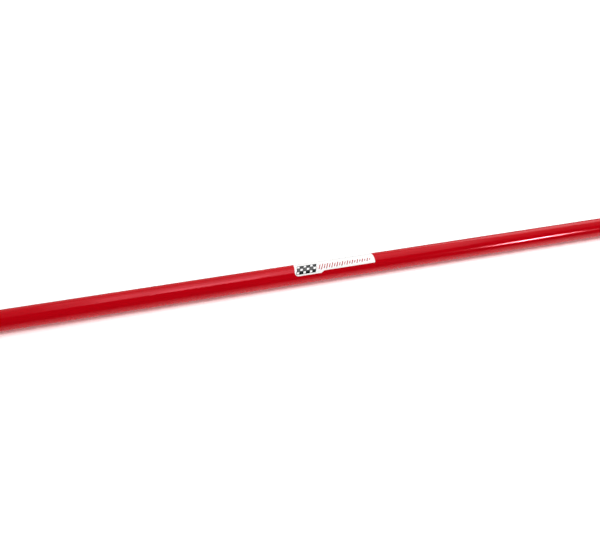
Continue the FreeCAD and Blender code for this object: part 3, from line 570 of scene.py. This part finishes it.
def bushingProfile(shape):
    # from the washer's side up to the nipple, with a slight barrel where the clamp squeezes it
    radius, height, edge, topEdge = (shape[k] for k in ("radius", "height", "edge", "topEdge"))
    points = [(shape["bore"], 0.0)]
    for k in range(9):
        turn = math.pi / 2 * k / 8
        points.append((radius - edge + edge * math.sin(turn), edge - edge * math.cos(turn)))
    low, high = edge, height - topEdge
    middle = (low + high) / 2
    for k in range(1, shape["wallSteps"]):
        z = low + (high - low) * k / shape["wallSteps"]
        swell = shape["bulge"] * (1 - ((z - middle) / (high - middle)) ** 2)
        seam = shape["seam"] * max(0.0, 1 - abs(z - middle) / shape["seamReach"])
        points.append((radius + swell + seam, z))
    for k in range(6):
        turn = math.pi / 2 * k / 5
        points.append((radius - topEdge + topEdge * math.cos(turn), high + topEdge * math.sin(turn)))
    nipple, top, ease = shape["nipple"], height + shape["nippleLength"], shape["nippleEdge"]
    points.append((nipple + shape["nippleRoot"], height))
    for k in range(5):
        turn = math.pi / 2 * k / 4
        points.append((nipple - ease + ease * math.cos(turn), top - ease + ease * math.sin(turn)))
    points.append((shape["bore"], top))
    return points


def buildBushings(shape):
    for side in sides:
        for name, nippleUp, atEye in (
                ("eye_rubber_lower", True, True), ("eye_rubber_upper", False, True),
                ("frame_rubber_lower", True, False), ("frame_rubber_upper", False, False)):
            node = f"{name}_{side}"
            low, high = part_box(node)
            place = (low + high) / 2
            place.z = low.z if nippleUp else high.z
            piece = meshObject(f"{name}Bushing_{side}", lathe(bushingProfile(shape)),
                               finish["black_polyurethane"])
            if not nippleUp:
                piece.data.transform(Matrix.Rotation(math.pi, 4, "X"))
            piece.data.transform(Matrix.Translation(place))
            smooth(piece, 50)
            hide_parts(node)
            if atEye:
                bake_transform(piece)
            else:
                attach(piece, "link_" + side)
    print("link bushings made")


buildBushings(bushingShape)


# the grease fittings' springs

springShape = {"wire": 0.3, "turns": 5.0, "deadTurns": 0.75, "travel": 0.8, "around": 12, "steps": 36}


def buildSprings(shape):
    # coils of music wire whose end turns lie flat, as they do on the seat and under the ball
    for side in sides:
        node = f"grease_spring_{side}"
        low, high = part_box(node)
        middle, wire = (low + high) / 2, shape["wire"] * mm / 2
        radius = (high.x - low.x) / 2 - wire
        rise = high.z - low.z - 2 * wire
        dead, turns = shape["deadTurns"], shape["turns"]
        count = round(turns * shape["steps"])
        form = bmesh.new()
        rings = []
        for k in range(count + 1):
            turn = turns * k / count
            share = min(max((turn - dead) / (turns - 2 * dead), 0), 1)
            pitchUp = 2 * wire * (min(turn, dead) + max(turn - turns + dead, 0))
            z = low.z + wire + pitchUp + share * (rise - 4 * wire * dead)
            angle = 2 * math.pi * turn
            out = Vector((math.cos(angle), math.sin(angle), 0))
            rings.append([form.verts.new(Vector((middle.x, middle.y, z)) + out * radius
                                         + out * wire * math.cos(a) + Vector((0, 0, wire * math.sin(a))))
                          for a in (2 * math.pi * n / shape["around"] for n in range(shape["around"]))])
        for ring, following in zip(rings, rings[1:]):
            for n in range(len(ring)):
                beside = (n + 1) % len(ring)
                form.faces.new((ring[n], ring[beside], following[beside], following[n]))
        form.faces.new(rings[0])
        form.faces.new(rings[-1])
        spring = meshObject(f"springCoil_{side}", form, finish["spring_steel"])
        smooth(spring, 60)
        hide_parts(node)
        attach(spring, "frame_mounts")
        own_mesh(spring)
    print("springs made")


buildSprings(springShape)


# the floor, the lights and the camera

studio = {
    "paperSeen": 1.25,  # how bright the paper is to the camera,
    "paperBounce": 1.1,  # to the shading of what stands on it,
    "paperGloss": 1.25,  # and in the gloss
    "paintedPadGlow": 0.11,  # painted glow that the camera sees on the pad, lifting the shadow under the bar
    "paintedGlowNearBar": 0.2,  # painted glow on the paper near the bar, which lights the bar's underside in its shading and gloss
    "glossNear": 18.0,  # the gloss mirrors the paper up to here in front of the bar
    "glossFar": 42.0,  # and from here on the gloss shows it black, a painted dark reflection in place of a black card
    "pad": (515.0, 75.0, (63.0, 75.0), 190.0),  # half length and width, its two end steps and its height
    "padFade": (460.0, 512.0),  # across, where the paper burns out to pure white
    "underBar": 1.0,  # air between the bar and the pad
    "floorReach": 6000.0,
    "room": 1.3,  # the room behind, to the camera, to the shading and in the gloss
    "roomBounce": 0.45,
    "roomGloss": 0.45,
    "card": (0.282, -0.888, 0.366),  # the way to the black card beside the camera
    "cardEdge": (0.72, 0.86),  # cosines from its direction where its soft edge starts and ends
    "camera": (-322.94, -878.88, 541.05),
    "azimuth": 17.59,  # degrees that the view turns from +Y towards +X
    "elevation": 28.92,
    "lens": 50.0,
}
softboxes = {
    # name: (centre and size in mm, radiance, what it points at, roll in degrees, what it lights)
    "broadBox": ((300, -150, 1500), (1400, 1900), 0.9, (300, -150, 0), 0, "all"),
    "middleBox": ((130, -460, 1490), (780, 1320), 2.1, (130, -460, 0), 0, "all"),
    "coreBox": ((110, -720, 1480), (340, 720), 3.2, (110, -720, 0), 0, "all"),
    "backBox": ((1700, 1400, 1500), (1200, 1800), 1.4, (1700, 1400, 0), 0, "gloss"),
    "rightStrip": ((1135, -1420, 345), (290, 140), 125.0, (300, 0, 20), 45, "barGloss"),
}


def seamlessPaper(setup, name, burnt):
    # Matt seamless paper. The camera sees it bright, as it is when lit for a white background, and pure
    # white where it is burnt; the shading and the gloss see it as a cut-down set would send light back.
    sweep, shader = startMaterial(name, {"Roughness": 0.9, "Specular IOR Level": 0.0})
    rays = addNode(sweep, "ShaderNodeLightPath")
    place = addNode(sweep, "ShaderNodeTexCoord").outputs["Object"]
    split = addNode(sweep, "ShaderNodeSeparateXYZ", links={"Vector": place})
    across, depth = (addNode(sweep, "ShaderNodeMath", {"operation": "ABSOLUTE"}, {0: way}).outputs[0]
                     for way in split.outputs[:2])
    # the paper's brightness in the gloss: bright near the bar, then a painted dark reflection further out
    gloss = addNode(sweep, "ShaderNodeMapRange",
                    {"From Min": setup["glossNear"] * mm, "From Max": setup["glossFar"] * mm,
                     "To Min": setup["paperGloss"], "To Max": 0.0}, {"Value": depth}).outputs[0]
    level = addNode(sweep, "ShaderNodeMix", {0: 0.0, 2: setup["paperBounce"]},
                    {0: rays.outputs["Is Glossy Ray"], 3: gloss}).outputs[0]
    level = addNode(sweep, "ShaderNodeMix", {3: setup["paperSeen"]},
                    {0: rays.outputs["Is Camera Ray"], 2: level}).outputs[0]
    paper = addNode(sweep, "ShaderNodeCombineXYZ", links={0: level, 1: level, 2: level}).outputs[0]
    link(sweep, paper, shader, "Base Color")
    fadeStart, fadeEnd = setup["padFade"]
    # emission the camera sees: on the pad a faint painted glow that lifts the shadow under the bar, rising to pure
    # white at its ends; the floor is pure white
    burn = addNode(sweep, "ShaderNodeMapRange",
                   {"From Min": fadeStart * mm, "From Max": fadeEnd * mm,
                    "To Min": 1.0 if burnt else setup["paintedPadGlow"], "To Max": 1.0},
                   {"Value": across}).outputs[0]
    # painted glow on the paper near the bar, as the bar's shading and gloss see it, lighting the bar's underside
    glow = addNode(sweep, "ShaderNodeMath", {"operation": "MULTIPLY", 1: setup["paintedGlowNearBar"]},
                   {0: gloss}).outputs[0]
    seen = addNode(sweep, "ShaderNodeMix", {},
                   {0: rays.outputs["Is Camera Ray"], 2: glow, 3: burn}).outputs[0]
    link(sweep, seen, shader, "Emission Strength")
    shader.inputs["Emission Color"].default_value = (1, 1, 1, 1)
    return sweep


def buildFloor(setup):
    # a narrow pad under the straight bar and its brackets, far enough above the floor for the arms
    length, width, slope, drop = setup["pad"]
    top = jointPlace["bar_pivot"].z / mm - barShape["diameter"] / 2 - setup["underBar"]
    stations = [(length, -drop), (length, 0), (length - slope[0], 0), (length - slope[1], top)]
    stations = [(-x, z) for x, z in stations] + [(x, z) for x, z in reversed(stations)]
    pad = bmesh.new()
    rows = [[pad.verts.new(Vector((x, y, z)) * mm) for x, z in stations] for y in (-width, width)]
    for k in range(len(stations) - 1):
        pad.faces.new((rows[0][k], rows[0][k + 1], rows[1][k + 1], rows[1][k]))
    meshObject("pad", pad, seamlessPaper(setup, "paperPad", False))
    floor = bmesh.new()
    for y in (-width, width):
        floor.faces.new([floor.verts.new(Vector((x, y, z)) * mm) for x, z in stations])
    far = setup["floorReach"]
    floor.faces.new([floor.verts.new(Vector((x * far, y * far, -drop)) * mm)
                     for x, y in ((-1, -1), (1, -1), (1, 1), (-1, 1))])
    meshObject("floor", floor, seamlessPaper(setup, "paperFloor", True))


def buildRoom(setup):
    world = bpy.data.worlds.new("room")
    bpy.context.scene.world = world
    world.use_nodes = True
    world.node_tree.nodes.clear()
    rays = addNode(world, "ShaderNodeLightPath")
    way = addNode(world, "ShaderNodeTexCoord").outputs["Generated"]
    toCard = addNode(world, "ShaderNodeVectorMath", {"operation": "DOT_PRODUCT", 1: setup["card"]},
                     {0: way})
    low, high = setup["cardEdge"]
    gloss = addNode(world, "ShaderNodeMapRange",
                    {"interpolation_type": "SMOOTHSTEP", "From Min": low, "From Max": high,
                     "To Min": setup["roomGloss"], "To Max": 0.0},
                    {"Value": toCard.outputs["Value"]}).outputs[0]
    level = addNode(world, "ShaderNodeMix", {2: setup["roomBounce"]},
                    {0: rays.outputs["Is Glossy Ray"], 3: gloss}).outputs[0]
    level = addNode(world, "ShaderNodeMix", {3: setup["room"]},
                    {0: rays.outputs["Is Camera Ray"], 2: level}).outputs[0]
    glow = addNode(world, "ShaderNodeBackground", {"Color": (1, 1, 1, 1)}, {"Strength": level})
    addNode(world, "ShaderNodeOutputWorld", links={"Surface": glow.outputs[0]})


def buildLights(boxes, bar):
    barOnly = bpy.data.collections.new("barOnly")
    barOnly.objects.link(bar)
    for name, (place, size, radiance, target, roll, lights) in boxes.items():
        lamp = bpy.data.lights.new(name, "AREA")
        lamp.shape = "RECTANGLE"
        lamp.size, lamp.size_y = size[0] * mm, size[1] * mm
        lamp.energy = radiance * math.pi * lamp.size * lamp.size_y
        holder = bpy.data.objects.new(name, lamp)
        bpy.context.scene.collection.objects.link(holder)
        aim = (Vector(place) - Vector(target)).to_track_quat("Z", "Y").to_matrix()
        turn = aim @ Matrix.Rotation(math.radians(roll), 3, "Z")
        holder.matrix_world = Matrix.Translation(Vector(place) * mm) @ turn.to_4x4()
        holder.visible_camera = False
        holder.visible_diffuse = lights == "all"
        if lights == "barGloss":  # so bright that its glare would burn out the bare metal
            holder.light_linking.receiver_collection = barOnly


def buildCamera(setup):
    lens = bpy.data.cameras.new("camera")
    lens.lens = setup["lens"]
    lens.sensor_width = 36.0
    camera = bpy.data.objects.new("camera", lens)
    bpy.context.scene.collection.objects.link(camera)
    camera.location = Vector(setup["camera"]) * mm
    camera.rotation_euler = (math.radians(90 - setup["elevation"]), 0, math.radians(-setup["azimuth"]))
    bpy.context.scene.camera = camera


buildFloor(studio)
buildRoom(studio)
buildLights(softboxes, bar)
buildCamera(studio)
bpy.context.scene.view_settings.view_transform = "Standard"
print("floor, lights and camera set")
